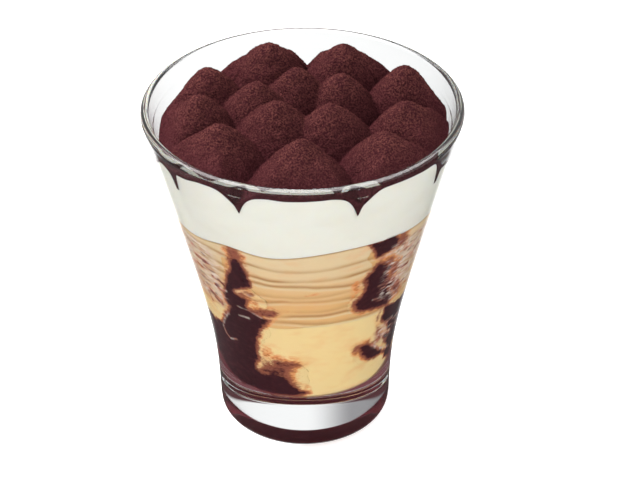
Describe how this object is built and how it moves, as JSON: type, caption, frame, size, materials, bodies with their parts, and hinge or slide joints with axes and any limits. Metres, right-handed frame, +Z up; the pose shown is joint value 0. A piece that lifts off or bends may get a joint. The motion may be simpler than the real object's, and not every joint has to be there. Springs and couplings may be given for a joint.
{
  "type": "tiramisu in a glass",
  "caption": "Flared clear glass tumbler filled with custard, coffee-soaked sponge and cream piped into peaks under cocoa.",
  "frame": {"origin": "middle of the glass's flat foot, on the surface it stands on", "axes": "+Z up along the glass's axis, -Y towards the side that the picture shows, +X to that view's right"},
  "size_m": [0.076, 0.076, 0.0927],
  "materials": {
    "glass": "polished clear glass",
    "custard_smooth": "smooth yellow custard, moist",
    "custard_folded": "pale custard with folds, moist",
    "sponge": "sponge soaked in coffee, ragged",
    "cream": "thick white cream, satin",
    "cocoa": "dry cocoa powder, matt"
  },
  "bodies": {
    "root": {"glass": "glass", "custard_smooth": "custard_smooth", "custard_folded": "custard_folded", "sponge_left": "sponge", "sponge_front_foot": "sponge", "sponge_right_upper": "sponge", "sponge_right_lower": "sponge", "sponge_right_small": "sponge", "sponge_back_upper": "sponge", "sponge_back_left": "sponge", "sponge_back_right": "sponge", "cream_peaks": "cream", "cocoa_coat": "cocoa"}
  },
  "joints": []
}
